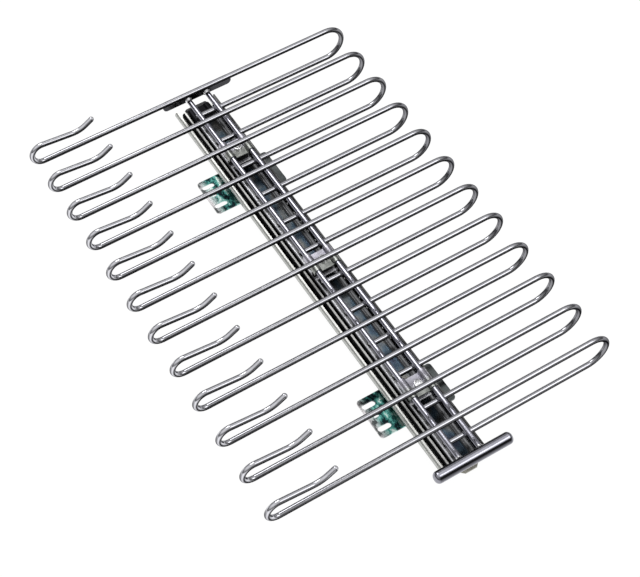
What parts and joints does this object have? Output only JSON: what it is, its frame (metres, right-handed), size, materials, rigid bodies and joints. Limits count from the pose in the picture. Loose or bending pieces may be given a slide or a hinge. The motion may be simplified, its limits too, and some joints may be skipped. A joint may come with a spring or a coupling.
{
  "type": "pull-out trouser rack",
  "caption": "Pull-out wardrobe trouser rack: bent chromed wire arms with end hooks, on a full-extension ball-bearing slide with slotted mounting plates and a bar handle.",
  "frame": {"origin": "under the middle of the rack's overall box, on the underside of the mounting plates", "axes": "+Y runs along the slide from the handle to the rear end, +X points to the side of the loops, +Z points away from the shelf that the plates are screwed to; the rack pulls out towards -Y"},
  "size_m": [0.327, 0.477, 0.0898],
  "materials": {
    "chrome_wire": "bright chrome plate",
    "zinc_rail": "zinc plated, bright",
    "bright_rail": "zinc plated, mirror-like along the channel",
    "zinc_plate": "zinc plated, passivated to a teal tint",
    "rivet_steel": "satin",
    "black_plastic": "moulded, matt",
    "cage_steel": "satin",
    "ball_steel": "polished",
    "standoff_zinc": "satin, dark",
    "clip_steel": "zinc plated, satin",
    "screw_steel": "bright"
  },
  "bodies": {
    "fixed": {"outer_rail": "zinc_rail", "front_mounting_plate": "zinc_plate", "rear_mounting_plate": "zinc_plate", "plate_rivets": "rivet_steel", "rear_bumper": "black_plastic"},
    "middle": {"middle_rail": "zinc_rail"},
    "outer_cage": {"outer_ball_cage": "cage_steel", "outer_balls": "ball_steel"},
    "inner_cage": {"inner_ball_cage": "cage_steel", "inner_balls": "ball_steel"},
    "carriage": {"inner_rail": "bright_rail", "standoff_blocks": "standoff_zinc", "left_rail_wire": "chrome_wire", "right_rail_wire": "chrome_wire", "rear_cross_plate": "chrome_wire", "handle_bar": "chrome_wire", "saddle_clips": "clip_steel", "clip_screws": "screw_steel", "trouser_arm_01": "chrome_wire", "trouser_arm_02": "chrome_wire", "trouser_arm_03": "chrome_wire", "trouser_arm_04": "chrome_wire", "trouser_arm_05": "chrome_wire", "trouser_arm_06": "chrome_wire", "trouser_arm_07": "chrome_wire", "trouser_arm_08": "chrome_wire", "trouser_arm_09": "chrome_wire", "trouser_arm_10": "chrome_wire", "trouser_arm_11": "chrome_wire", "trouser_arm_12": "chrome_wire"}
  },
  "joints": [
    {"name": "middle_rail_slide", "type": "slide", "parent": "fixed", "child": "middle", "axis": [0, -1, 0], "range_m": [0, 0.225]},
    {"name": "inner_rail_slide", "type": "slide", "parent": "middle", "child": "carriage", "axis": [0, -1, 0], "range_m": [0, 0.225]},
    {"name": "outer_cage_roll", "type": "slide", "parent": "fixed", "child": "outer_cage", "axis": [0, -1, 0], "range_m": [0, 0.1125]},
    {"name": "inner_cage_roll", "type": "slide", "parent": "middle", "child": "inner_cage", "axis": [0, -1, 0], "range_m": [0, 0.1125]}
  ],
  "couplings": [
    {"joint": "outer_cage_roll", "follows": "middle_rail_slide", "ratio": 0.5},
    {"joint": "inner_cage_roll", "follows": "inner_rail_slide", "ratio": 0.5}
  ]
}
